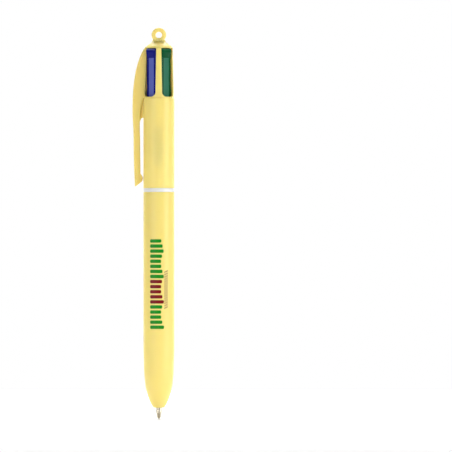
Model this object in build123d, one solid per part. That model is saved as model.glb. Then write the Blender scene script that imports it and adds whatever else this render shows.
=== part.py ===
"""A four-colour click pen with a clip and a lanyard eyelet, one STEP file for each piece.

The pen stands along +Z with its tip down. The origin is the writing point, where the ball of the
refill that is out touches the paper. The clip points to -X and the eyelet's hole runs along Y.
The black refill is out; the blue, green and red ones are in. All sizes are in millimetres.
"""

import os
from math import atan2, degrees, hypot

from build123d import *

# ---- Heights above the writing point ----
NOSE_END_Z = 4.35
FUNNEL_TOP_Z = 7.5
SPIGOT_END_Z = 80.0
RING_BOTTOM_Z = 87.4
RING_TOP_Z = 88.9
GUIDE_SEAT_Z = 90.0
HEAD_SHOULDER_Z = 123.2
RIB_FOOT_Z = 121.6
WINDOW_FLOOR_Z = 124.0
CHANNEL_TOP_Z = 126.4
HEAD_TOP_Z = 142.8
EYELET_Z = 147.8

# ---- Barrels ----
BARREL_R = 6.0
HEAD_FOOT_R = 5.75
HEAD_TOP_R = 5.35
NOSE_END_R = 2.2
MOUTH_R = 1.6
FUNNEL_TOP_R = 2.32
LOWER_INNER_R = 5.0
SPIGOT_R = 4.9
SPIGOT_BORE_R = 4.3
UPPER_INNER_R = 4.95
HEAD_INNER_R = 4.45
RING_R = 5.93
RING_INNER_R = 5.0
WINDOW_HALF_WIDTH = 2.96
WINDOW_CORNER_R = 1.7
CHANNEL_R = 4.88

# ---- End cap, eyelet and clip ----
DOME_TOP_Z = 145.2
EYELET_R = 2.8
EYELET_HOLE_R = 1.25
EYELET_WIDTH = 3.5
EYELET_EDGE_R = 0.8
NECK_R = 2.35
CORE_PLATE = 0.5
CORE_REACH = 4.3
CORE_POST_R = 0.75
CORE_BOTTOM_Z = 121.5
CLIP_TOP_HALF_WIDTH = 1.12
CLIP_HALF_WIDTH = 1.42
CLIP_HINGE = (-8.6, 115.4)
CLIP_KNUCKLE_R = 1.0
CLIP_FLEX_GAP = 0.15
WEB_HALF_WIDTH = 0.7
WEB_BOTTOM_Z = 115.9
SEAM_GAP = 0.05

# ---- Sliders ----
TRAVEL = 12.0
SLIDER_TOP_Z = 142.6
SLIDER_FOOT_Z = 121.0
SLIDER_FACE = 4.08
SLIDER_EDGE = 3.78
SLIDER_HALF_WIDTH = 2.7
SLIDER_HEEL = 1.4
FLAT_HALF_WIDTH = 1.4
CORE_SIDE_GAP = 0.57
BUTTON_FACE = 4.9
BUTTON_FOOT_Z = 139.1
BUTTON_CORNER_R = 0.9
STEM_R = 1.8
STEM_BOTTOM_Z = 113.0
STEM_BORE_R = 1.37
STEM_BORE_TOP_Z = 118.5

# ---- Refills and springs ----
REFILL_CIRCLE_R = 2.6
TUBE_R = 1.25
TUBE_INNER_R = 0.8
TIP_R = 1.12
BALL_R = 0.5
BALL_CLEARANCE = 0.015
TIP_LIP = 0.28
TIP_LIP_R = 0.58
TIP_CONE_TOP = 2.4
TIP_SHOULDER = 9.0
TIP_TOP = 12.5
INK_TOP = 88.0
PIVOT_Z = 115.7
SPRING_R = 1.46
WIRE_R = 0.15
SPRING_TURNS = 13
SPRING_END_GAP = 0.1
GUIDE_THICKNESS = 2.0
GUIDE_R = 4.9
GUIDE_SLOT_R = 1.33
GUIDE_SLOT_INNER = 2.2
GUIDE_SLOT_OUTER = 2.64

# The four stations round the axis, in degrees from +X, and the colour whose refill is out.
STATIONS = {"blue": 225, "green": 315, "red": 135, "black": 45}
COLOUR_OUT = "black"

# A refill that is out leans inwards, so that its ball sits on the pen's axis.
PIVOT_DROP = PIVOT_Z - TRAVEL - BALL_R
LEAN = degrees(atan2(REFILL_CIRCLE_R, PIVOT_DROP))
PIVOT_TO_BALL = hypot(REFILL_CIRCLE_R, PIVOT_DROP)


def turned(*edges):
    """The solid that edges closed in the XZ plane make when they turn about Z."""
    return revolve(make_face(Curve() + list(edges)), Axis.Z)


def corners(*points, close=False):
    """Straight edges through (radius, height) points in the XZ plane."""
    return Polyline(*[(r, 0, z) for r, z in points], close=close)


def through(points, start, end):
    """A smooth edge through (radius, height) points, with its directions at both ends."""
    return Spline(
        *[(r, 0, z) for r, z in points],
        tangents=[(start[0], 0, start[1]), (end[0], 0, end[1])],
    )


def rod(radius, low, high):
    """A round bar on the Z axis between two heights."""
    return Pos(0, 0, (low + high) / 2) * Cylinder(radius, high - low)


def bar(x, y, z):
    """A box between pairs of limits along X, Y and Z."""
    centre = [(low + high) / 2 for low, high in (x, y, z)]
    return Pos(*centre) * Box(x[1] - x[0], y[1] - y[0], z[1] - z[0])


# ---- Barrels, ring and guide ----
def make_lower_barrel():
    """The grip: a tube with an ogive nose and a funnel that guides the tips to its mouth."""
    outline = [
        (NOSE_END_R, NOSE_END_Z),
        (3.55, 7.05),
        (4.74, 10.5),
        (5.52, 15.8),
        (5.88, 22.5),
        (BARREL_R, 33.0),
    ]
    cavity = [
        (FUNNEL_TOP_R, FUNNEL_TOP_Z),
        (3.55, 11.8),
        (4.22, 15.6),
        (4.72, 21.5),
        (LOWER_INNER_R, 31.0),
    ]
    outside = through(outline, (0.45, 0.89), (0, 1))
    inside = through(cavity, (0.3, 0.95), (0, 1))
    top = corners(
        (BARREL_R, 33.0),
        (BARREL_R, RING_BOTTOM_Z - 0.15),
        (BARREL_R - 0.15, RING_BOTTOM_Z),
        (LOWER_INNER_R, RING_BOTTOM_Z),
        (LOWER_INNER_R, 31.0),
    )
    mouth = corners(
        (FUNNEL_TOP_R, FUNNEL_TOP_Z),
        (MOUTH_R, NOSE_END_Z),
        (NOSE_END_R, NOSE_END_Z),
    )
    barrel = turned(outside, top, inside, mouth)
    nose_rim = barrel.edges().filter_by(GeomType.CIRCLE).group_by(Axis.Z)[0].sort_by(SortBy.RADIUS)[-1]
    return fillet(nose_rim, 0.5)


def make_joint_ring():
    """The plain ring between the two barrels."""
    bevel = 0.12
    return turned(
        corners(
            (RING_INNER_R, RING_BOTTOM_Z),
            (RING_R - bevel, RING_BOTTOM_Z),
            (RING_R, RING_BOTTOM_Z + bevel),
            (RING_R, RING_TOP_Z - bevel),
            (RING_R - bevel, RING_TOP_Z),
            (RING_INNER_R, RING_TOP_Z),
            close=True,
        )
    )


def head_outline():
    """Corners of the upper barrel's outside, from the spigot's foot to the top of the head."""
    return [
        (SPIGOT_R - 0.3, SPIGOT_END_Z),
        (SPIGOT_R, SPIGOT_END_Z + 0.3),
        (SPIGOT_R, RING_TOP_Z),
        (BARREL_R - 0.15, RING_TOP_Z),
        (BARREL_R, RING_TOP_Z + 0.15),
        (BARREL_R, HEAD_SHOULDER_Z),
        (HEAD_FOOT_R, HEAD_SHOULDER_Z + 0.5),
        (HEAD_TOP_R, HEAD_TOP_Z),
    ]


def window_cutter():
    """A slot with rounded lower corners and an open top, on the +X side."""
    height = HEAD_TOP_Z + 2 - WINDOW_FLOOR_Z
    slot = Pos(0, height / 2) * Rectangle(2 * WINDOW_HALF_WIDTH, height)
    slot = fillet(slot.vertices().group_by(Axis.Y)[0], WINDOW_CORNER_R)
    plane = Plane(origin=(2, 0, WINDOW_FLOOR_Z), x_dir=(0, 1, 0), z_dir=(1, 0, 0))
    return extrude(plane * slot, 6)


def channel_cutter():
    """The way down for a slider between two ribs, below the part where its window is full width."""
    side = (-WINDOW_HALF_WIDTH, WINDOW_HALF_WIDTH)
    channel = bar((0, 6), side, (RIB_FOOT_Z - 1, CHANNEL_TOP_Z))
    return channel & rod(CHANNEL_R, RIB_FOOT_Z - 1, CHANNEL_TOP_Z)


def make_upper_barrel():
    """The tube with four windows that are open at the top, and the spigot for the lower barrel."""
    barrel = turned(
        corners(
            *head_outline(),
            (HEAD_INNER_R, HEAD_TOP_Z),
            (HEAD_INNER_R, RIB_FOOT_Z + 0.5),
            (UPPER_INNER_R, RIB_FOOT_Z),
            (UPPER_INNER_R, GUIDE_SEAT_Z),
            (SPIGOT_BORE_R, GUIDE_SEAT_Z),
            (SPIGOT_BORE_R, SPIGOT_END_Z),
            close=True,
        )
    )
    for angle in STATIONS.values():
        barrel -= Rot(0, 0, angle) * window_cutter()
        barrel -= Rot(0, 0, angle) * channel_cutter()
    return barrel


def make_refill_guide():
    """The disc that the springs stand on, with a slot for each refill to lean in."""
    disc = chamfer(
        rod(GUIDE_R, GUIDE_SEAT_Z, GUIDE_SEAT_Z + GUIDE_THICKNESS).edges(), 0.2
    )
    length = GUIDE_SLOT_OUTER - GUIDE_SLOT_INNER
    slot = SlotCenterToCenter(length, 2 * GUIDE_SLOT_R)
    middle = (GUIDE_SLOT_INNER + GUIDE_SLOT_OUTER) / 2
    hole = extrude(Pos(middle, 0, GUIDE_SEAT_Z - 1) * slot, GUIDE_THICKNESS + 2)
    for angle in STATIONS.values():
        disc -= Rot(0, 0, angle) * hole
    return disc


# ---- End cap and clip ----
def clip_outline():
    """The clip seen from the side: its outside and inside edges as one closed face."""
    outside = [
        (-5.0, 143.5),
        (-6.05, 142.0),
        (-7.42, 139.0),
        (-8.6, 135.2),
        (-9.66, 129.0),
        (-10.15, 119.5),
        (-9.82, 110.5),
        (-9.6, 98.5),
        (-9.15, 89.4),
    ]
    inside = [(-7.08, 96.0), (-7.2, 106.0), (-7.2, 116.5), (-6.8, 120.0), (-5.3, 124.0)]
    pip = ThreePointArc((-6.65, 0, 91.3), (-6.14, 0, 92.5), (-7.06, 0, 94.3))
    edges = [
        through(outside, (-0.5, -0.87), (0.1, -1)),
        corners((-9.15, 89.4), (-6.65, 91.3)),
        pip,
        corners((-7.06, 94.3), (-7.08, 96.0)),
        through(inside, (-0.02, 1), (0.75, 0.66)),
        corners((-5.3, 124.0), (-4.2, 124.4), (-4.2, 143.5), (-5.0, 143.5)),
    ]
    return make_face(Curve() + edges)


def clip_blank():
    """The whole clip, narrower at the top, before it is divided at the flexing line."""
    slab = extrude(clip_outline(), CLIP_HALF_WIDTH + 0.2, both=True, dir=(0, 1, 0))
    front = Plane(origin=(-20, 0, 0), x_dir=(0, 1, 0), z_dir=(1, 0, 0)) * make_face(
        Polyline(
            (-CLIP_TOP_HALF_WIDTH, 146),
            (-CLIP_TOP_HALF_WIDTH, 140),
            (-CLIP_HALF_WIDTH, 122),
            (-CLIP_HALF_WIDTH, 88),
            (CLIP_HALF_WIDTH, 88),
            (CLIP_HALF_WIDTH, 122),
            (CLIP_TOP_HALF_WIDTH, 140),
            (CLIP_TOP_HALF_WIDTH, 146),
            close=True,
        )
    )
    return slab & extrude(front, 20)


def knuckle(radius):
    """A round bar along Y on the line where the clip flexes."""
    x, z = CLIP_HINGE
    return Pos(x, 0, z) * Rot(90, 0, 0) * Cylinder(radius, 4)


def make_clip_blade():
    """The springy lower part of the clip, with a round upper end on the flexing line."""
    x, z = CLIP_HINGE
    below = bar((x - 6, x + 6), (-3, 3), (80, z))
    return clip_blank() & (below + knuckle(CLIP_KNUCKLE_R))


def make_end_cap():
    """Dome, eyelet, fixed part of the clip and the cross-shaped core between the sliders."""
    shoulder = [(HEAD_TOP_R, HEAD_TOP_Z), (4.8, 143.55), (3.75, 144.35), (NECK_R, DOME_TOP_Z)]
    dome = turned(
        through(shoulder, (-0.15, 1), (-0.8, 0.45)),
        corners((NECK_R, DOME_TOP_Z), (0, DOME_TOP_Z), (0, HEAD_TOP_Z), (HEAD_TOP_R, HEAD_TOP_Z)),
    )
    upright = Pos(0, 0, EYELET_Z) * Rot(90, 0, 0)
    ring = fillet(Cylinder(EYELET_R, EYELET_WIDTH).edges().filter_by(GeomType.CIRCLE), EYELET_EDGE_R)
    neck = rod(NECK_R, HEAD_TOP_Z, EYELET_Z - 1.6) & bar((-3, 3), (-1.75, 1.75), (140, 150))
    cap = dome + neck + upright * ring
    cap += clip_blank() & bar((-12, 0), (-3, 3), (CLIP_HINGE[1] + CLIP_FLEX_GAP, 150))
    cap += bar((-7.4, -4.2), (-WEB_HALF_WIDTH, WEB_HALF_WIDTH), (WEB_BOTTOM_Z, 124.8))
    cap -= turned(
        corners(
            (0, 80),
            *[(r + SEAM_GAP, z) for r, z in head_outline()],
            (0, HEAD_TOP_Z),
            close=True,
        )
    )
    cap -= knuckle(CLIP_KNUCKLE_R + SEAM_GAP)
    for turn in (0, 90):
        plate = bar(
            (-CORE_REACH, CORE_REACH),
            (-CORE_PLATE / 2, CORE_PLATE / 2),
            (CORE_BOTTOM_Z, HEAD_TOP_Z),
        )
        cap += Rot(0, 0, turn) * plate
    cap += rod(CORE_POST_R, CORE_BOTTOM_Z, HEAD_TOP_Z)
    hole = upright * Cylinder(EYELET_HOLE_R, EYELET_WIDTH + 1)
    return cap - hole


# ---- Sliders ----
def make_slider():
    """One slider at the +X station, up: thumb ridge, flat shank, catch and stem with its bore."""
    half_heel = SLIDER_HEEL - CORE_SIDE_GAP
    knee = SLIDER_HALF_WIDTH + CORE_SIDE_GAP
    section = Polyline(
        (SLIDER_HEEL, half_heel),
        (knee, SLIDER_HALF_WIDTH),
        (SLIDER_EDGE, SLIDER_HALF_WIDTH),
        (SLIDER_FACE, FLAT_HALF_WIDTH),
        (SLIDER_FACE, -FLAT_HALF_WIDTH),
        (SLIDER_EDGE, -SLIDER_HALF_WIDTH),
        (knee, -SLIDER_HALF_WIDTH),
        (SLIDER_HEEL, -half_heel),
        close=True,
    )
    shank = Pos(0, 0, SLIDER_FOOT_Z) * extrude(
        make_face(section), SLIDER_TOP_Z - SLIDER_FOOT_Z
    )
    plan = Pos((knee + BUTTON_FACE) / 2, 0) * Rectangle(
        BUTTON_FACE - knee, 2 * SLIDER_HALF_WIDTH
    )
    plan = fillet(plan.vertices().group_by(Axis.X)[-1], BUTTON_CORNER_R)
    block = Pos(0, 0, BUTTON_FOOT_Z - 1) * extrude(plan, SLIDER_TOP_Z - BUTTON_FOOT_Z + 1)
    profile = make_face(
        corners(
            (knee - 1, SLIDER_TOP_Z),
            (BUTTON_FACE - 0.55, SLIDER_TOP_Z),
            (BUTTON_FACE, SLIDER_TOP_Z - 0.8),
            (BUTTON_FACE, SLIDER_TOP_Z - 1.15),
            (SLIDER_FACE - 0.05, BUTTON_FOOT_Z),
            (knee - 1, BUTTON_FOOT_Z - 0.9),
            close=True,
        )
    )
    ridge = block & extrude(profile, 4, both=True, dir=(0, 1, 0))
    catch = bar((1.05, SLIDER_HEEL + 0.1), (-0.45, 0.45), (131.6, 133.2))
    stem = Pos(REFILL_CIRCLE_R, 0) * rod(STEM_R, STEM_BOTTOM_Z, SLIDER_FOOT_Z)
    bore = Pos(REFILL_CIRCLE_R, 0) * rod(STEM_BORE_R, STEM_BOTTOM_Z - 1, STEM_BORE_TOP_Z)
    return shank + ridge + catch + stem - bore


# ---- Refills: built hanging from the pivot, with the ball down ----
def ball_height(up_from_tip):
    """Height in a refill's own frame, whose origin is the pivot, of a point above the ball's foot."""
    return up_from_tip - BALL_R - PIVOT_TO_BALL


def make_tip():
    """The metal writing tip with its ink duct and the seat that holds the ball."""
    heights = [
        (TIP_LIP_R, TIP_LIP),
        (TIP_R, TIP_CONE_TOP),
        (TIP_R, TIP_SHOULDER),
        (TUBE_INNER_R - 0.01, TIP_SHOULDER),
        (TUBE_INNER_R - 0.01, TIP_TOP),
        (0.3, TIP_TOP),
        (0.3, TIP_LIP),
    ]
    tip = turned(corners(*[(r, ball_height(h)) for r, h in heights], close=True))
    return tip - Pos(0, 0, ball_height(BALL_R)) * Sphere(BALL_R + BALL_CLEARANCE)


def make_tube():
    """The plastic ink tube, whose upper end plugs into a slider's stem."""
    low, high = ball_height(TIP_SHOULDER), STEM_BORE_TOP_Z - 0.2 - PIVOT_Z
    return rod(TUBE_R, low, high) - rod(TUBE_INNER_R, low - 1, high + 1)


def make_ink():
    """The ink column in the tube, above the metal tip."""
    return rod(TUBE_INNER_R - 0.01, ball_height(TIP_TOP), ball_height(INK_TOP))


def make_ball():
    """The writing ball."""
    return Pos(0, 0, ball_height(BALL_R)) * Sphere(BALL_R)


def make_spring(length):
    """A return spring that stands on z = 0, as long as its slider's place leaves it."""
    height = length - 2 * WIRE_R
    path = Helix(height / SPRING_TURNS, height, SPRING_R)
    wire = Plane(origin=path @ 0, z_dir=path % 0) * Circle(WIRE_R)
    return Pos(0, 0, WIRE_R) * sweep(wire, path=path, is_frenet=True)


def at_station(colour):
    """Where the +X station goes for a colour."""
    return Rot(0, 0, STATIONS[colour])


def refill_place(colour):
    """Where a colour's refill hangs: straight when it is in, lower and leaning when it is out."""
    out = colour == COLOUR_OUT
    pivot = Pos(REFILL_CIRCLE_R, 0, PIVOT_Z - (TRAVEL if out else 0))
    return at_station(colour) * pivot * Rot(0, LEAN if out else 0, 0)


def spring_place(colour):
    """Where a colour's spring stands and how long it is, along its refill."""
    out = colour == COLOUR_OUT
    low = GUIDE_SEAT_Z + GUIDE_THICKNESS + SPRING_END_GAP
    high = STEM_BOTTOM_Z - SPRING_END_GAP - (TRAVEL if out else 0)
    pivot_height = PIVOT_Z - (TRAVEL if out else 0)
    foot = Pos(0, 0, low - pivot_height)
    return refill_place(colour) * foot, high - low


def make_all():
    """Every piece by its node name."""
    pieces = {
        "end_cap": make_end_cap(),
        "clip_blade": make_clip_blade(),
        "upper_barrel": make_upper_barrel(),
        "refill_guide": make_refill_guide(),
        "joint_ring": make_joint_ring(),
        "lower_barrel": make_lower_barrel(),
    }
    slider, tube, ink, tip, ball = make_slider(), make_tube(), make_ink(), make_tip(), make_ball()
    for colour in STATIONS:
        drop = Pos(0, 0, -TRAVEL if colour == COLOUR_OUT else 0)
        pieces[colour + "_slider"] = drop * at_station(colour) * slider
        place, length = spring_place(colour)
        pieces[colour + "_spring"] = place * make_spring(length)
        refill = refill_place(colour)
        pieces[colour + "_ink_tube"] = refill * tube
        pieces[colour + "_ink"] = refill * ink
        pieces[colour + "_tip"] = refill * tip
        pieces[colour + "_ball"] = refill * ball
    return pieces


os.makedirs("parts", exist_ok=True)
for name, piece in make_all().items():
    export_step(piece, f"parts/{name}.step")
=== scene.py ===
"""The looks of the four-colour click pen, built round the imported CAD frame.

Shapes are written in millimetres in the row frame and turned into metres when a mesh is made.
The pen stands on its tip along +Z, the clip points to -X and the camera looks along +Y.
"""

import math

import bmesh
import bpy
from mathutils import Matrix, Vector


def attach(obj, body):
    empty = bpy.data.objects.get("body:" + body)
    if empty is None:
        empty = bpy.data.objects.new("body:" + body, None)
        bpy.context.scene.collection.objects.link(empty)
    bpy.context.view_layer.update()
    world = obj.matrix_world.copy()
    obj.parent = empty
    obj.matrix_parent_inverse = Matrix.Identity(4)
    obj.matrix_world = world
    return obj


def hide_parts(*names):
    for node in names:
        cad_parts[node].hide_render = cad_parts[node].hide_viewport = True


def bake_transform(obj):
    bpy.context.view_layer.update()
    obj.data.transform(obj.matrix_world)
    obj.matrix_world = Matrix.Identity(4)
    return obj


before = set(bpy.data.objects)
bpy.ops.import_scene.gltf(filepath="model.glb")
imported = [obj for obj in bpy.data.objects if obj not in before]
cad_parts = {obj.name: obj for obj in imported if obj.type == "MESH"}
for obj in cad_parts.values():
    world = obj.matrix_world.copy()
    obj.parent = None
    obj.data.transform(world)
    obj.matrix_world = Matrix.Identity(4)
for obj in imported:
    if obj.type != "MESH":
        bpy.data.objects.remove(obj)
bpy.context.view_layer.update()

MM = 0.001
ROOT = "upper_assembly"

# ---- Sizes shared with the CAD model, in millimetres ----
RING_BOTTOM, RING_TOP = 87.4, 88.9
WINDOW_FLOOR, HEAD_TOP = 124.0, 142.8
WINDOW_HALF, WINDOW_CORNER = 2.96, 1.7
BARREL_R, HEAD_FOOT_R, HEAD_TOP_R = 5.97, 5.75, 5.35
BORE_R, RIB_BORE_R = 4.95, 4.45
HEAD_STEP_LOW, HEAD_STEP_HIGH = 123.2, 123.7
SPIGOT_R, SPIGOT_BORE_R, SPIGOT_BOTTOM, SPIGOT_TOP = 4.9, 4.3, 80.0, 90.0
RIM_BEVEL, RIB_COLUMNS = 0.14, 16
EYELET_Z = 147.8
TRAVEL = 12.0
FACE = 4.08
CIRCLE_R, PIVOT_Z, BALL_R = 2.6, 115.7, 0.5
TUBE_TOP, INK_BOTTOM, INK_TOP = 118.3, 12.5, 88.3
STATIONS = {"blue": 225, "green": 315, "red": 135, "black": 45}
OUT = "black"
LEAN = math.atan2(CIRCLE_R, PIVOT_Z - TRAVEL - BALL_R)
REACH = math.hypot(CIRCLE_R, PIVOT_Z - TRAVEL - BALL_R)


# ---- Curves and outlines ----
def smooth_curve(points, start, end, count):
    """count + 1 points on a smooth curve through points, with given directions at both ends."""
    pts = [Vector(p) for p in points]
    chords = [(b - a).length for a, b in zip(pts, pts[1:])]
    slopes = []
    for i, p in enumerate(pts):
        if i == 0:
            slopes.append(Vector(start).normalized())
        elif i == len(pts) - 1:
            slopes.append(Vector(end).normalized())
        else:
            before = (p - pts[i - 1]) / chords[i - 1]
            after = (pts[i + 1] - p) / chords[i]
            slopes.append((before * chords[i] + after * chords[i - 1]) / (chords[i - 1] + chords[i]))
    out = []
    total = sum(chords)
    for step in range(count + 1):
        s = total * step / count
        i = 0
        while i < len(chords) - 1 and s > chords[i]:
            s -= chords[i]
            i += 1
        h, t = chords[i], min(s / chords[i], 1.0)
        a = pts[i] * (2 * t**3 - 3 * t**2 + 1) + slopes[i] * (h * (t**3 - 2 * t**2 + t))
        b = pts[i + 1] * (-2 * t**3 + 3 * t**2) + slopes[i + 1] * (h * (t**3 - t**2))
        out.append(tuple(a + b))
    return out


def rounded(corners, closed=True, steps=4):
    """An outline whose corners (u, v, radius) are rounded, always with the same number of points."""
    out = []
    n = len(corners)
    for i, (u, v, r) in enumerate(corners):
        p = Vector((u, v))
        if not closed and i in (0, n - 1):
            out.append((u, v))
            continue
        a = Vector(corners[i - 1][:2]) - p
        b = Vector(corners[(i + 1) % n][:2]) - p
        cut = min(r, a.length * 0.49, b.length * 0.49)
        p0, p2 = p + a.normalized() * cut, p + b.normalized() * cut
        for k in range(steps + 1):
            t = k / steps
            out.append(tuple(p0 * (1 - t) ** 2 + p * (2 * t * (1 - t)) + p2 * t * t))
    return out


def value_at(points, x):
    """The value at x on the broken line through (x, value) points in rising order of x."""
    for (x0, y0), (x1, y1) in zip(points, points[1:]):
        if x <= x1:
            return y0 + (y1 - y0) * max(0.0, (x - x0) / (x1 - x0))
    return points[-1][1]


# ---- Mesh building ----
def make_object(name, verts, faces, materials, place=None, indices=None, sharp=38):
    """A welded, smooth-shaded mesh object from points in millimetres."""
    mesh = bpy.data.meshes.new(name)
    moved = [place @ Vector(v) for v in verts] if place else [Vector(v) for v in verts]
    mesh.from_pydata([v * MM for v in moved], [], faces)
    for material in materials:
        mesh.materials.append(material)
    if indices:
        mesh.polygons.foreach_set("material_index", indices)
    work = bmesh.new()
    work.from_mesh(mesh)
    bmesh.ops.remove_doubles(work, verts=work.verts, dist=2e-6)
    bmesh.ops.recalc_face_normals(work, faces=work.faces)
    work.to_mesh(mesh)
    work.free()
    mesh.shade_smooth()
    mesh.set_sharp_from_angle(angle=math.radians(sharp))
    obj = bpy.data.objects.new(name, mesh)
    bpy.context.collection.objects.link(obj)
    return obj


def grid(rows, wrap=False):
    """Vertices and quads of a grid given as rows of points with equal counts."""
    verts = [p for row in rows for p in row]
    n = len(rows[0])
    faces = []
    for i in range(len(rows) - 1):
        for j in range(n if wrap else n - 1):
            k = (j + 1) % n
            faces.append((i * n + j, i * n + k, (i + 1) * n + k, (i + 1) * n + j))
    return verts, faces


def join(*parts):
    """One vertex and face list from several."""
    verts, faces = [], []
    for v, f in parts:
        faces += [tuple(i + len(verts) for i in face) for face in f]
        verts += v
    return verts, faces


def lathe(profile, segments=128, closed=True):
    """A (radius, height) profile turned about Z."""
    loop = profile + profile[:1] if closed else profile
    rows = []
    for r, z in loop:
        turn = [math.tau * k / segments for k in range(segments)]
        rows.append([(r * math.cos(t), r * math.sin(t), z) for t in turn])
    return grid(rows, wrap=True)


def loft(loops):
    """Closed loops joined into a solid with flat ends."""
    verts, faces = grid(loops, wrap=True)
    n = len(loops[0])
    last = (len(loops) - 1) * n
    faces.append(tuple(reversed(range(n))))
    faces.append(tuple(range(last, last + n)))
    return verts, faces


def prism(outline, low, high, bevel):
    """An upright solid from an outline about its own middle, with bevelled ends."""
    middle = Vector((sum(p[0] for p in outline), sum(p[1] for p in outline))) / len(outline)

    def inset(z, amount):
        row = []
        for p in outline:
            out = Vector(p) - middle
            row.append((*(middle + out * (1 - amount / out.length)), z))
        return row

    half = bevel * 0.3
    return loft(
        [
            inset(low, bevel),
            inset(low + half, half),
            inset(low + bevel, 0),
            inset(high - bevel, 0),
            inset(high - half, half),
            inset(high, bevel),
        ]
    )


def tube(path, radius, sides=12):
    """A round wire along a path."""
    loops = []
    points = [Vector(p) for p in path]
    normal = Vector((0, 0, 1))
    for i, p in enumerate(points):
        ahead = points[min(i + 1, len(points) - 1)] - points[max(i - 1, 0)]
        side = ahead.cross(normal).normalized()
        up = side.cross(ahead).normalized()
        turn = [math.tau * k / sides for k in range(sides)]
        loops.append([tuple(p + side * (radius * math.cos(t)) + up * (radius * math.sin(t))) for t in turn])
    return loft(loops)


# ---- Materials ----
def socket(shader, name, value):
    """Sets a constant on a shader's own socket."""
    shader.inputs[name].default_value = value


def plastic(name, colour, shade=0.9, roughness=0.3, grain=900.0, bump=0.02, scatter=0.0, specular=0.5):
    """Moulded plastic: slightly uneven colour and gloss, and the fine grain of the mould."""
    material = bpy.data.materials.new(name)
    material.use_nodes = True
    nodes, links = material.node_tree.nodes, material.node_tree.links
    shader = nodes["Principled BSDF"]
    where = nodes.new("ShaderNodeTexCoord")
    cloud = nodes.new("ShaderNodeTexNoise")
    cloud.inputs["Scale"].default_value = 160.0
    cloud.inputs["Detail"].default_value = 4.0
    links.new(where.outputs["Object"], cloud.inputs["Vector"])
    tint = nodes.new("ShaderNodeMix")
    tint.data_type = "RGBA"
    tint.inputs[6].default_value = (*[c * shade for c in colour], 1)
    tint.inputs[7].default_value = (*colour, 1)
    spread = nodes.new("ShaderNodeMapRange")
    spread.inputs["From Min"].default_value = 0.3
    spread.inputs["From Max"].default_value = 0.7
    links.new(cloud.outputs["Fac"], spread.inputs["Value"])
    links.new(spread.outputs["Result"], tint.inputs[0])
    links.new(tint.outputs[2], shader.inputs["Base Color"])
    gloss = nodes.new("ShaderNodeMapRange")
    gloss.inputs["To Min"].default_value = roughness - 0.02
    gloss.inputs["To Max"].default_value = roughness + 0.03
    links.new(cloud.outputs["Fac"], gloss.inputs["Value"])
    links.new(gloss.outputs["Result"], shader.inputs["Roughness"])
    fine = nodes.new("ShaderNodeTexNoise")
    fine.inputs["Scale"].default_value = grain
    fine.inputs["Detail"].default_value = 3.0
    links.new(where.outputs["Object"], fine.inputs["Vector"])
    relief = nodes.new("ShaderNodeBump")
    relief.inputs["Strength"].default_value = bump
    relief.inputs["Distance"].default_value = 0.0001
    links.new(fine.outputs["Fac"], relief.inputs["Height"])
    links.new(relief.outputs["Normal"], shader.inputs["Normal"])
    socket(shader, "Subsurface Weight", scatter)
    socket(shader, "Subsurface Radius", (0.0015, 0.0011, 0.0006))
    socket(shader, "Subsurface Scale", 1.0)
    socket(shader, "Specular IOR Level", specular)
    return material


def metal(name, colour, roughness, rings=0.0, bump=0.1):
    """Turned or drawn metal, with fine rings left by the tool across its length."""
    material = bpy.data.materials.new(name)
    material.use_nodes = True
    nodes, links = material.node_tree.nodes, material.node_tree.links
    shader = nodes["Principled BSDF"]
    socket(shader, "Metallic", 1.0)
    where = nodes.new("ShaderNodeTexCoord")
    cloud = nodes.new("ShaderNodeTexNoise")
    cloud.inputs["Scale"].default_value = 1400.0
    links.new(where.outputs["Object"], cloud.inputs["Vector"])
    tint = nodes.new("ShaderNodeMix")
    tint.data_type = "RGBA"
    tint.inputs[6].default_value = (*[c * 0.82 for c in colour], 1)
    tint.inputs[7].default_value = (*colour, 1)
    links.new(cloud.outputs["Fac"], tint.inputs[0])
    links.new(tint.outputs[2], shader.inputs["Base Color"])
    gloss = nodes.new("ShaderNodeMapRange")
    gloss.inputs["To Min"].default_value = roughness * 0.8
    gloss.inputs["To Max"].default_value = roughness * 1.3
    links.new(cloud.outputs["Fac"], gloss.inputs["Value"])
    links.new(gloss.outputs["Result"], shader.inputs["Roughness"])
    wave = nodes.new("ShaderNodeTexWave")
    wave.bands_direction = "Z"
    wave.inputs["Scale"].default_value = rings
    wave.inputs["Distortion"].default_value = 0.4
    links.new(where.outputs["Object"], wave.inputs["Vector"])
    relief = nodes.new("ShaderNodeBump")
    relief.inputs["Strength"].default_value = bump
    relief.inputs["Distance"].default_value = 0.00003
    links.new(wave.outputs["Fac"], relief.inputs["Height"])
    links.new(relief.outputs["Normal"], shader.inputs["Normal"])
    return material


YELLOW = plastic("yellow_moulded_plastic", (0.86, 0.69, 0.205), 0.992, 0.36, 700, 0.012, 0.4, 0.25)
WHITE = plastic("white_moulded_plastic", (0.74, 0.73, 0.71), 0.96, 0.4, scatter=0.2)
NATURAL = plastic("natural_moulded_plastic", (0.74, 0.73, 0.68), 0.94, 0.45)
NICKEL = metal("turned_nickel", (0.60, 0.54, 0.42), 0.16, 900.0)
WIRE = metal("bright_spring_wire", (0.74, 0.74, 0.75), 0.22, 2200.0)
BALL = metal("polished_writing_ball", (0.55, 0.54, 0.52), 0.12, 300.0, 0.02)
# Each slider plastic comes in two colour copies. The darker gloss copy below is painted shade on the sloping
# thumb ridge and the side strips. The lighter copy after it is painted reflection on the flat face and a
# painted highlight on the top bevel. Only the lighter copy's higher roughness and finer grain are a real
# frosted finish.
BUTTONS = {
    "blue": plastic("blue_gloss_plastic", (0.0005, 0.004, 0.170), 0.85, 0.24, specular=0.08),
    "green": plastic("green_gloss_plastic", (0.001, 0.070, 0.022), 0.85, 0.24, specular=0.08),
    "red": plastic("red_gloss_plastic", (0.370, 0.008, 0.010), 0.85, 0.24, specular=0.12),
    "black": plastic("black_gloss_plastic", (0.010, 0.010, 0.011), 0.80, 0.24, specular=0.12),
}
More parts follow.
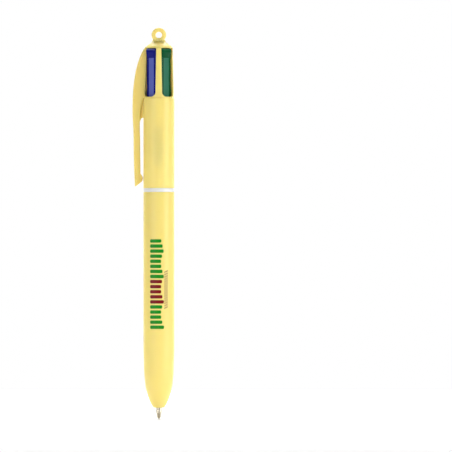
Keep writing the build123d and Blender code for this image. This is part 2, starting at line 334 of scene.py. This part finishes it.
# Lighter copies of the slider plastics: painted reflection on the flat face and a painted highlight on the
# top bevel.
FROSTED_FACES_PAINTED_LIGHT = {
    "blue": plastic("blue_frosted_face_painted_reflection", (0.090, 0.115, 0.430), 0.93, 0.5, 1400, 0.06, specular=0.25),
    "green": plastic("green_frosted_face_painted_reflection", (0.013, 0.140, 0.076), 0.93, 0.5, 1400, 0.06, specular=0.25),
    "red": plastic("red_frosted_face_painted_reflection", (0.520, 0.085, 0.085), 0.93, 0.5, 1400, 0.06, specular=0.25),
    "black": plastic("black_frosted_face_painted_reflection", (0.050, 0.050, 0.052), 0.90, 0.5, 1400, 0.06, specular=0.25),
}
INKS = {
    "blue": plastic("blue_wet_ink", (0.004, 0.010, 0.160), 0.8, 0.12),
    "green": plastic("green_wet_ink", (0.003, 0.070, 0.022), 0.8, 0.12),
    "red": plastic("red_wet_ink", (0.300, 0.006, 0.008), 0.8, 0.12),
    "black": plastic("black_wet_ink", (0.006, 0.006, 0.006), 0.8, 0.12),
}
PRINTS = {
    "green": plastic("green_printed_ink", (0.004, 0.235, 0.008), 0.9, 0.4, specular=0.2),
    "red": plastic("dark_red_printed_ink", (0.190, 0.003, 0.006), 0.9, 0.4, specular=0.2),
    "brown": plastic("brown_printed_ink", (0.270, 0.110, 0.040), 0.9, 0.4, specular=0.2),
}


# ---- Barrels and ring ----
def make_lower_barrel():
    """The grip with its ogive nose, funnel and softened rims."""
    outside = smooth_curve(
        [(2.2, 4.35), (3.55, 7.05), (4.74, 10.5), (5.52, 15.8), (5.86, 22.5), (BARREL_R, 33.0)],
        (0.45, 0.89),
        (0, 1),
        44,
    )
    inside = smooth_curve(
        [(2.32, 7.5), (3.55, 11.8), (4.22, 15.6), (4.72, 21.5), (5.0, 31.0)], (0.3, 0.95), (0, 1), 24
    )
    rim_corners = [(BARREL_R, 33.5, 0), (BARREL_R, RING_BOTTOM, 0.16), (5.0, RING_BOTTOM, 0.16), (5.0, 32, 0)]
    top = rounded(rim_corners, closed=False)
    mouth = [(1.62, 4.5), (1.65, 4.39), (1.72, 4.35), (1.8, 4.36), (1.98, 4.43), (2.17, 4.57), (2.33, 4.77)]
    above_mouth = [p for p in outside if p[1] > 4.95]
    profile = above_mouth + top + list(reversed(inside)) + mouth
    barrel = make_object("grip_barrel", *lathe(profile, 160), [YELLOW])
    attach(barrel, "grip")
    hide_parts("lower_barrel")


def make_ring():
    """The white ring between the barrels, with rounded edges."""
    corners = [
        (5.0, RING_BOTTOM, 0.05),
        (5.93, RING_BOTTOM, 0.2),
        (5.93, RING_TOP, 0.2),
        (5.0, RING_TOP, 0.05),
    ]
    ring = make_object("white_joint_ring", *lathe(rounded(corners), 160), [WHITE])
    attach(ring, "ring")
    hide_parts("joint_ring")


def head_radius(z):
    """The outside radius of the head at a height."""
    steps = [(HEAD_STEP_LOW, BARREL_R), (HEAD_STEP_HIGH, HEAD_FOOT_R), (HEAD_TOP, HEAD_TOP_R)]
    return value_at(steps, z)


def head_bore(z):
    """The inside radius of the upper barrel at a height."""
    return value_at([(120, BORE_R), (126.0, BORE_R), (126.4, RIB_BORE_R), (HEAD_TOP, RIB_BORE_R)], z)


def window_edge(offset):
    """Half-widths and heights down one edge of a window, grown by offset, to its lowest middle."""
    centre_y = WINDOW_HALF - WINDOW_CORNER
    centre_z = WINDOW_FLOOR + WINDOW_CORNER
    heights = [HEAD_TOP - k * (HEAD_TOP - 127.0) / 14 for k in range(15)]
    heights += [126.6, 126.4, 126.2, 126.0, 125.85]
    edge = [(WINDOW_HALF + offset, z) for z in heights]
    reach = WINDOW_CORNER + offset
    for k in range(9):
        turn = math.radians(90 * k / 8)
        edge.append((centre_y + reach * math.cos(turn), centre_z - reach * math.sin(turn)))
    side = len(edge)
    edge += [(centre_y * (1 - k / 4), WINDOW_FLOOR - offset) for k in range(1, 5)]
    return edge, side


def edge_angle(half_width, radius):
    """How far a window's edge is from the middle of the rib beside it."""
    return math.radians(45) - math.asin(half_width / radius)


def ring_point(radius, angle, z):
    """A point by its radius, angle in radians and height."""
    return (radius * math.cos(angle), radius * math.sin(angle), z)


def rib_row(middle, half_width, radius, z):
    """Points across the rib between two windows, at one radius and height."""
    reach = edge_angle(half_width, radius)
    return [ring_point(radius, middle + reach * (2 * j / RIB_COLUMNS - 1), z) for j in range(RIB_COLUMNS + 1)]


def tube_quarter(middle, base_edge):
    """A quarter of the tube below the windows: down the outside, round the spigot and up the bore."""
    base_z = base_edge[-1][1]
    corners = [
        (head_radius(base_z), base_z, 0),
        (HEAD_FOOT_R, HEAD_STEP_HIGH, 0.25),
        (BARREL_R, HEAD_STEP_LOW, 0.35),
        (BARREL_R, RING_TOP, 0.16),
        (SPIGOT_R, RING_TOP, 0.05),
        (SPIGOT_R, SPIGOT_BOTTOM, 0.3),
        (SPIGOT_BORE_R, SPIGOT_BOTTOM, 0.15),
        (SPIGOT_BORE_R, SPIGOT_TOP, 0.1),
        (BORE_R, SPIGOT_TOP, 0.1),
        (BORE_R, base_z, 0),
    ]
    profile = rounded(corners, closed=False)
    turn_back = next(i for i, p in enumerate(profile) if p[1] < SPIGOT_BOTTOM + 0.05)
    rows = []
    for i, (r, z) in enumerate(profile):
        base_r = head_radius(base_z) if i <= turn_back else BORE_R
        reaches = [edge_angle(half, base_r) for half, _ in base_edge]
        inner = [reaches[0] * (2 * j / RIB_COLUMNS - 1) for j in range(RIB_COLUMNS + 1)]
        turns = [-a for a in reversed(reaches[1:])] + inner + reaches[1:]
        rows.append([ring_point(r, middle + t, z) for t in turns])
    return grid(rows)


def window_rim(middle, sign, count):
    """Rows across the wall at one side of a rib, rounded off at the outside and at the bore."""
    rounding = ((1.0, 0.0), (0.3, 0.3), (0.0, 1.0))
    sharper = [window_edge(RIM_BEVEL * share)[0] for share, _ in rounding]
    rows = []
    for i in range(count):
        row = []
        for edge, (_, sink) in zip(sharper, rounding):
            half, z = edge[i]
            r = head_radius(z) - RIM_BEVEL * sink
            row.append(ring_point(r, middle + sign * edge_angle(half, r), z))
        for edge, (_, sink) in zip(reversed(sharper), reversed(rounding)):
            half, z = edge[i]
            r = head_bore(z) + RIM_BEVEL * sink
            row.append(ring_point(r, middle + sign * edge_angle(half, r), z))
        rows.append(row)
    return rows


def rib_foot(middle):
    """The wedge that carries a rib's thicker wall down into the bore."""
    inner_r, outer_r = RIB_BORE_R, 5.1
    inner, outer = 0.24 / inner_r, 0.9 / outer_r
    wedge = [(inner_r, -inner), (inner_r, inner), (outer_r, outer), (outer_r, -outer)]
    levels = ((121.6, 0.5), (122.1, 0.0), (126.45, 0.0))
    return loft([[ring_point(r + sink, middle + t, z) for r, t in wedge] for z, sink in levels])


def make_upper_barrel():
    """The tube with four windows whose edges are rounded, and the spigot below the ring."""
    grown, side = window_edge(RIM_BEVEL)
    parts = []
    for quarter in range(4):
        middle = math.radians(90 * quarter)
        for radius_at in (head_radius, head_bore):
            parts.append(grid([rib_row(middle, half, radius_at(z), z) for half, z in grown[:side]]))
        parts.append(tube_quarter(middle, grown[side - 1 :]))
        for sign in (-1, 1):
            rows = window_rim(middle, sign, len(grown))
            parts.append(grid(rows))
            parts.append((rows[0], [tuple(range(len(rows[0])))]))
        half = grown[0][0]
        radii = (head_radius(HEAD_TOP), head_bore(HEAD_TOP))
        parts.append(grid([rib_row(middle, half, r, HEAD_TOP) for r in radii]))
        parts.append(rib_foot(middle))
    barrel = make_object("windowed_barrel", *join(*parts), [YELLOW])
    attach(barrel, ROOT)
    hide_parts("upper_barrel")


# ---- End cap, clip and core ----
def make_dome():
    """The dome with its flared neck and the eyelet ring across it."""
    crown_points = [(HEAD_TOP_R, HEAD_TOP), (4.8, 143.55), (3.75, 144.35), (2.35, 145.2)]
    crown = smooth_curve(crown_points, (-0.15, 1), (-0.8, 0.45), 24)
    profile = [(0.0, HEAD_TOP), (HEAD_TOP_R - 0.1, HEAD_TOP), (HEAD_TOP_R - 0.03, HEAD_TOP + 0.02)]
    parts = [lathe(profile + crown[1:] + [(1.2, 145.5), (0.0, 145.5)], 128, closed=False)]
    neck = [(144.5, 3.5, 2.75), (144.95, 2.85, 2.25), (145.25, 2.6, 1.95), (145.6, 2.42, 1.8)]
    neck += [(146.0, 2.35, 1.72), (146.4, 2.3, 1.66), (146.7, 1.9, 1.4)]
    turns = [math.tau * k / 64 for k in range(64)]
    parts.append(loft([[(a * math.cos(t), b * math.sin(t), z) for t in turns] for z, a, b in neck]))
    corners = [(1.25, -1.75, 0.22), (2.8, -1.75, 0.85), (2.8, 1.75, 0.85), (1.25, 1.75, 0.22)]
    verts, faces = lathe(rounded(corners, steps=7), 96)
    parts.append(([(x, z, EYELET_Z + y) for x, y, z in verts], faces))
    dome = make_object("dome_and_eyelet", *join(*parts), [YELLOW])
    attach(dome, ROOT)
    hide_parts("end_cap")


def clip_edges():
    """The clip's outer and inner edge as (height, x) points from the bottom up."""
    outer = smooth_curve(
        [
            (-5.0, 143.5),
            (-6.05, 142.0),
            (-7.42, 139.0),
            (-8.6, 135.2),
            (-9.66, 129.0),
            (-10.15, 119.5),
            (-9.82, 110.5),
            (-9.6, 98.5),
            (-9.15, 89.4),
        ],
        (-0.5, -0.87),
        (0.1, -1),
        120,
    )
    inner = smooth_curve(
        [(-7.06, 94.5), (-7.08, 96.0), (-7.2, 106.0), (-7.2, 116.5), (-6.8, 120.0), (-5.3, 124.0)],
        (-0.02, 1),
        (0.75, 0.66),
        60,
    )
    foot = [(-9.15, 89.4), (-6.75, 91.2), (-6.42, 91.55), (-6.22, 92.0)]
    foot += [(-6.14, 92.5), (-6.22, 93.1), (-6.48, 93.65), (-6.8, 94.1)]
    outer = [(z, x) for x, z in reversed(outer)]
    inner = [(z, x) for x, z in foot + inner] + [(143.6, -4.6)]
    return outer, inner


def make_clip():
    """The whole clip as one springy moulding, from the head to its pip."""
    outer, inner = clip_edges()
    heights = [89.46, 89.6, 89.8] + [90.0 + 0.25 * k for k in range(22)]
    heights += [95.6 + 0.8 * k for k in range(60)] + [143.1, 143.3, 143.45]
    loops = []
    for z in heights:
        front, back = value_at(outer, z), value_at(inner, z)
        half = value_at([(89, 1.42), (122, 1.42), (140, 1.12), (146, 1.12)], z)
        soft = min(0.5, (back - front) * 0.45)
        near = min(0.3, (back - front) * 0.45)
        corners = [(front, -half, soft), (back, -half, near), (back, half, near), (front, half, soft)]
        loops.append([(x, y, z) for x, y in rounded(corners, steps=5)])
    clip = make_object("springy_clip", *loft(loops), [YELLOW])
    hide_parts("clip_blade")
    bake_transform(clip)


def make_web():
    """The thin web that ties the clip's root to the barrel, with an arched lower edge."""
    lower = [(-7.6, 113.2), (-7.3, 114.3), (-7.05, 115.1), (-6.75, 115.65)]
    lower += [(-6.4, 115.95), (-6.1, 115.85), (-5.85, 115.5)]
    upper = [(-7.6, 119.6), (-6.9, 121.0), (-5.85, 124.2)]
    loops = []
    for k in range(29):
        x = -7.55 + 1.7 * k / 28
        low, high = value_at(lower, x), value_at(upper, x)
        corners = [(low, -0.7, 0.3), (high, -0.7, 0.1), (high, 0.7, 0.1), (low, 0.7, 0.3)]
        loops.append([(x, y, z) for z, y in rounded(corners, steps=3)])
    web = make_object("clip_web", *loft(loops), [YELLOW])
    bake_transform(web)


def make_core():
    """The cross-shaped core between the sliders."""
    t, reach, post = 0.25, 4.3, 0.62
    arm = [(reach, -t, 0.1), (reach, t, 0.1)]
    corners = []
    for quarter in range(4):
        spin = Matrix.Rotation(math.radians(90 * quarter), 2)
        for u, v, r in arm:
            corners.append((*(spin @ Vector((u, v))), r))
        corners.append((*(spin @ Vector((post, post))), 0.3))
    core = make_object("slider_core", *prism(rounded(corners), 121.5, HEAD_TOP, 0.12), [YELLOW])
    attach(core, ROOT)


# ---- Sliders ----
def station(colour, drop=0.0):
    """Where the +X station goes for a colour."""
    turn = Matrix.Rotation(math.radians(STATIONS[colour]), 4, "Z")
    return Matrix.Translation((0, 0, -drop)) @ turn


def slider_section(front, inset, z):
    """A slider's outline at one height: how far out its face is, and how much its rim is drawn in."""
    side = 2.7 - inset
    proud = max(0.0, front - FACE) / 0.82
    cheek = front - 0.3 - 0.35 * proud
    flank = 1.4 + 0.55 * proud
    corners = [
        (1.4 + inset, -0.83, 0.12),
        (3.27, -side, 0.1),
        (cheek - inset, -side, 0.12 + 0.3 * proud),
        (front - inset, -flank, 0.3 + 0.8 * proud),
        (front - inset, flank, 0.3 + 0.8 * proud),
        (cheek - inset, side, 0.12 + 0.3 * proud),
        (3.27, side, 0.1),
        (1.4 + inset, 0.83, 0.12),
    ]
    return [(x, y, z) for x, y in rounded(corners, steps=6)]


def make_slider(colour):
    """A slider: thumb ridge, frosted face painted lighter as a reflection, catch and the stem that the refill
    plugs into.
    """
    rows = [(121.0, FACE - 0.1, 0.1), (121.1, FACE - 0.03, 0.03), (121.3, FACE, 0)]
    rows += [(123.0 + 2.0 * k, FACE, 0) for k in range(8)]
    rows += [(138.5, FACE, 0), (138.95, FACE + 0.01, 0), (139.2, FACE + 0.06, 0), (139.45, 4.22, 0)]
    rows += [(140.4, 4.58, 0), (141.0, 4.8, 0), (141.3, 4.88, 0), (141.5, 4.9, 0), (141.7, 4.88, 0)]
    rows += [(141.85, 4.83, 0), (142.0, 4.75, 0), (142.35, 4.5, 0.03)]
    rows += [(142.52, 4.36, 0.1), (142.6, 4.2, 0.25)]
    shank = loft([slider_section(front, inset, z) for z, front, inset in rows])
    nib = [(1.05, -0.45, 0.1), (1.6, -0.45, 0.1), (1.6, 0.45, 0.1), (1.05, 0.45, 0.1)]
    catch = prism(rounded(nib), 131.6, 133.2, 0.1)
    wall = [(1.37, 113.0, 0.1), (1.8, 113.0, 0.15), (1.8, 121.1, 0.05)]
    wall += [(0.01, 121.1, 0.01), (0.01, 118.5, 0.01), (1.37, 118.5, 0.1)]
    verts, faces = lathe(rounded(wall), 64)
    stem = ([(x + CIRCLE_R, y, z) for x, y, z in verts], faces)
    verts, faces = join(shank, catch, stem)
    # Index 1 marks faces that get the lighter copy: the flat face as painted reflection and the top bevel as
    # a painted highlight. All other faces, with the sloping ridge and the side strips, get the darker copy as
    # painted shade.
    frosted_and_painted_light_index = []
    for face in faces:
        points = [verts[i] for i in face]
        middle = [sum(c) / len(points) for c in zip(*points)]
        flat = all(p[0] > FACE - 0.05 and abs(p[1]) < 1.42 for p in points)
        # The top bevel gets the lighter copy as a painted highlight.
        bevel = middle[2] > 141.8 and middle[0] > 4.3
        frosted_and_painted_light_index.append(1 if bevel or (flat and 121.2 < middle[2] < 139.0) else 0)
    place = station(colour, TRAVEL if colour == OUT else 0)
    looks = [BUTTONS[colour], FROSTED_FACES_PAINTED_LIGHT[colour]]
    slider = make_object(colour + "_button_slider", verts, faces, looks, place, frosted_and_painted_light_index)
    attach(slider, colour + "_button")
    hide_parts(colour + "_slider")


# ---- Refills and springs ----
def refill_place(colour):
    """Where a refill hangs from its pivot: straight when it is in, lower and leaning when it is out."""
    out = colour == OUT
    pivot = Matrix.Translation((CIRCLE_R, 0, PIVOT_Z - (TRAVEL if out else 0)))
    return station(colour) @ pivot @ Matrix.Rotation(LEAN if out else 0, 4, "Y")


def up_from_foot(height):
    """A height above the ball's foot as a height in the refill's own frame."""
    return height - BALL_R - REACH


def make_refill(colour):
    """Metal tip, writing ball, ink and translucent tube of one colour."""
    place = refill_place(colour)
    body = colour + "_refill"
    tip_corners = [
        (0.3, 0.5, 0.01),
        (0.47, 0.27, 0.02),
        (0.58, 0.28, 0.05),
        (0.66, 0.62, 0.05),
        (0.72, 0.66, 0.04),
        (1.12, 2.4, 0.12),
        (1.12, 8.2, 0.05),
        (1.12, 9.0, 0.1),
        (0.79, 9.0, 0.03),
        (0.79, 12.5, 0.1),
        (0.3, 12.5, 0.05),
    ]
    profile = [(r, up_from_foot(h)) for r, h in rounded(tip_corners)]
    tip = make_object(colour + "_metal_tip", *lathe(profile, 64), [NICKEL], place)
    arc = [math.radians(-90 + 180 * k / 24) for k in range(25)]
    centre = up_from_foot(BALL_R)
    sphere = [(abs(BALL_R * math.cos(t)), centre + BALL_R * math.sin(t)) for t in arc]
    ball = make_object(colour + "_writing_ball", *lathe(sphere, 40, closed=False), [BALL], place)
    tube_length = TUBE_TOP - PIVOT_Z + REACH + BALL_R
    tube_corners = [(0.8, 9.0, 0.05), (1.25, 9.0, 0.12), (1.25, tube_length, 0.12), (0.8, tube_length, 0.05)]
    wall = [(r, up_from_foot(h)) for r, h in rounded(tube_corners)]
    pipe = make_object(colour + "_refill_tube", *lathe(wall, 48), [TUBE_MIX[colour]], place)
    meniscus = [(0.79, INK_TOP - 0.5), (0.45, INK_TOP - 0.15), (0.0, INK_TOP)]
    column = [(r, up_from_foot(h)) for r, h in [(0.0, INK_BOTTOM), (0.79, INK_BOTTOM)] + meniscus]
    ink = make_object(colour + "_ink_column", *lathe(column, 32, closed=False), [INKS[colour]], place)
    for piece, node, slot in (
        (tip, "_tip", "nickel"),
        (ball, "_ball", "nickel"),
        (pipe, "_ink_tube", "clear_tube"),
        (ink, "_ink", colour + "_ink"),
    ):
        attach(piece, body)
        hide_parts(colour + node)


def make_spring(colour):
    """A return spring with closed end coils, built shorter for the slider that is down."""
    drop = TRAVEL if colour == OUT else 0
    low, high = 92.25, 112.75 - drop
    turns, radius, wire = 13, 1.46, 0.15
    count = turns * 28
    path = []
    dead = 0.3 / (high - low)
    for k in range(count + 1):
        t = k / count
        end = 1 / turns
        share = value_at([(0, 0), (end, dead), (1 - end, 1 - dead), (1, 1)], t)
        turn = math.tau * turns * t
        path.append((radius * math.cos(turn), radius * math.sin(turn), low + (high - low) * share))
    lowered = [(x, y, z - (PIVOT_Z - drop)) for x, y, z in path]
    coil = tube(lowered, wire)
    spring = make_object(colour + "_return_spring", *coil, [WIRE], refill_place(colour), sharp=80)
    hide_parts(colour + "_spring")
    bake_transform(spring)


def tube_material(colour):
    """The translucent tube: clear plastic whose lower part shows the ink inside."""
    base = {
        "blue": (0.10, 0.14, 0.52),
        "green": (0.08, 0.36, 0.20),
        "red": (0.60, 0.10, 0.10),
        "black": (0.10, 0.10, 0.10),
    }
    material = plastic(colour + "_ink_tube_plastic", (0.80, 0.80, 0.77), 0.97, 0.22)
    nodes, links = material.node_tree.nodes, material.node_tree.links
    shader = nodes["Principled BSDF"]
    plain = shader.inputs["Base Color"].links[0].from_socket
    where = next(n for n in nodes if n.type == "TEX_COORD")
    split = nodes.new("ShaderNodeSeparateXYZ")
    links.new(where.outputs["Object"], split.inputs["Vector"])
    level = nodes.new("ShaderNodeMapRange")
    top = 88.0 + (TRAVEL if colour != OUT else 0)
    level.inputs["From Min"].default_value = (top - 0.4) * MM
    level.inputs["From Max"].default_value = (top + 0.4) * MM
    links.new(split.outputs["Z"], level.inputs["Value"])
    mix = nodes.new("ShaderNodeMix")
    mix.data_type = "RGBA"
    mix.inputs[6].default_value = (*base[colour], 1)
    links.new(level.outputs["Result"], mix.inputs[0])
    links.new(plain, mix.inputs[7])
    links.new(mix.outputs[2], shader.inputs["Base Color"])
    return material


TUBE_MIX = {colour: tube_material(colour) for colour in STATIONS}


# ---- Print and relief ----
def wrapped_bar(x, z, wide, tall, lift, lean=0.0):
    """A thin bar wrapped round the barrel on the camera's side, with rounded ends."""
    loops = []
    steps = max(6, round(wide * 5))
    soft = tall * 0.3
    for k in range(steps + 1):
        u = wide * (k / steps - 0.5)
        inside = min(soft, wide / 2 - abs(u))
        half = tall / 2 - soft + math.sqrt(max(0.0, soft * soft - (soft - inside) ** 2))
        turn = math.radians(270) + (x + u) / BARREL_R
        middle = z + u * lean
        corners = ((-0.04, -half), (lift, -half), (lift, half), (-0.04, half))
        loops.append([ring_point(BARREL_R + r, turn, middle + v) for r, v in corners])
    return loft(loops)


def make_print():
    """A printed column of plain stripes and small ticks, and faint raised ribs on the upper barrel."""
    groups = {"green": [], "red": [], "brown": []}
    for k in range(18):
        wide = 5.6 - 1.2 * abs(math.sin(k * 0.62))
        ink = "red" if 5 <= k < 10 else "green"
        groups[ink].append(wrapped_bar(-3.5 + wide / 2, 35.4 + 1.95 * k, wide, 1.32, 0.02))
    for k in range(16):
        groups["brown"].append(wrapped_bar(2.95, 43.0 + 0.92 * k, 1.7, 0.36, 0.02, 0.45))
    for ink, parts in groups.items():
        piece = make_object("printed_" + ink + "_bars", *join(*parts), [PRINTS[ink]], sharp=30)
        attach(piece, "grip")
    ribs = [wrapped_bar(-0.1, 98.0 + 1.7 * k, 4.2 - 0.3 * abs(k - 4), 0.7, 0.03) for k in range(9)]
    piece = make_object("raised_barrel_ribs", *join(*ribs), [YELLOW])
    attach(piece, ROOT)


# ---- Guide disc: the CAD node with a finish ----
def finish_guide():
    """The refill guide keeps its CAD shape, gets natural plastic, and has its split vertices welded."""
    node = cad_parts["refill_guide"]
    node.data.materials.clear()
    node.data.materials.append(NATURAL)
    weld = node.modifiers.new("weld", "WELD")
    weld.merge_threshold = 1e-6


# ---- Floor, light and camera ----
def make_stage():
    """A pale floor, and a curved backdrop that lights the pen from behind but that no camera sees."""
    material = bpy.data.materials.new("pale_floor")
    material.use_nodes = True
    shader = material.node_tree.nodes["Principled BSDF"]
    socket(shader, "Base Color", (0.93, 0.93, 0.93, 1))
    socket(shader, "Roughness", 0.9)
    socket(shader, "Specular IOR Level", 0.1)
    turns = [math.radians(7.5 * k) for k in range(13)]
    flat = [(-1600.0, 0.0), (500.0, 0.0)]
    curve = [(500 + 400 * math.sin(t), 400 - 400 * math.cos(t)) for t in turns] + [(900.0, 1800.0)]
    for name, line in (("floor", flat), ("backdrop", curve)):
        rows = [[(-1800.0, y, z - 0.05), (1800.0, y, z - 0.05)] for y, z in line]
        piece = make_object(name, *grid(rows), [material], sharp=60)
        piece.visible_camera = name == "floor"


def area_light(name, place, target, size, power):
    """A soft rectangular lamp that faces a target; place and target are in metres."""
    data = bpy.data.lights.new(name, "AREA")
    data.shape = "RECTANGLE"
    data.size, data.size_y = size
    data.energy = power
    lamp = bpy.data.objects.new(name, data)
    lamp.location = place
    lamp.rotation_euler = (Vector(target) - Vector(place)).to_track_quat("-Z", "Y").to_euler()
    bpy.context.collection.objects.link(lamp)


def make_light():
    """Soft surroundings that are weaker behind the pen, and a soft lamp on each side of it."""
    world = bpy.data.worlds.new("studio")
    world.use_nodes = True
    nodes, links = world.node_tree.nodes, world.node_tree.links
    room = nodes["Background"]
    where = nodes.new("ShaderNodeTexCoord")
    split = nodes.new("ShaderNodeSeparateXYZ")
    links.new(where.outputs["Generated"], split.inputs["Vector"])
    level = nodes.new("ShaderNodeMapRange")
    level.inputs["From Min"].default_value = -0.6
    level.inputs["From Max"].default_value = 0.4
    level.inputs["To Min"].default_value = 0.7
    level.inputs["To Max"].default_value = 0.3
    links.new(split.outputs["Y"], level.inputs["Value"])
    links.new(level.outputs["Result"], room.inputs["Strength"])
    backdrop = nodes.new("ShaderNodeBackground")
    backdrop.inputs["Color"].default_value = (1, 1, 1, 1)
    path = nodes.new("ShaderNodeLightPath")
    mix = nodes.new("ShaderNodeMixShader")
    links.new(path.outputs["Is Camera Ray"], mix.inputs[0])
    links.new(room.outputs["Background"], mix.inputs[1])
    links.new(backdrop.outputs["Background"], mix.inputs[2])
    links.new(mix.outputs["Shader"], nodes["World Output"].inputs["Surface"])
    bpy.context.scene.world = world
    area_light("key", (0.75, -0.42, 0.2), (0, 0, 0.08), (0.4, 0.6), 5.9)
    area_light("fill", (-0.58, -0.66, 0.2), (0, 0, 0.08), (0.4, 0.6), 4.0)
    area_light("back", (0.0, 0.45, 0.9), (0, 0.55, 0.0), (0.9, 0.5), 16.0)
    bpy.context.scene.view_settings.view_transform = "Standard"


def make_camera():
    """A long lens level with the pen's middle, with the pen to the left of the frame."""
    data = bpy.data.cameras.new("camera")
    data.lens, data.sensor_width = 600.0, 36.0
    camera = bpy.data.objects.new("camera", data)
    camera.location = (0.02585, -2.9, 0.0743)
    camera.rotation_euler = (math.radians(90), 0, 0)
    data.clip_start, data.clip_end = 0.01, 20.0
    bpy.context.collection.objects.link(camera)
    bpy.context.scene.camera = camera


make_camera()
make_light()
make_stage()
make_lower_barrel()
make_ring()
make_upper_barrel()
make_dome()
make_clip()
make_web()
make_core()
for colour in STATIONS:
    make_slider(colour)
    make_refill(colour)
    make_spring(colour)
make_print()
finish_guide()
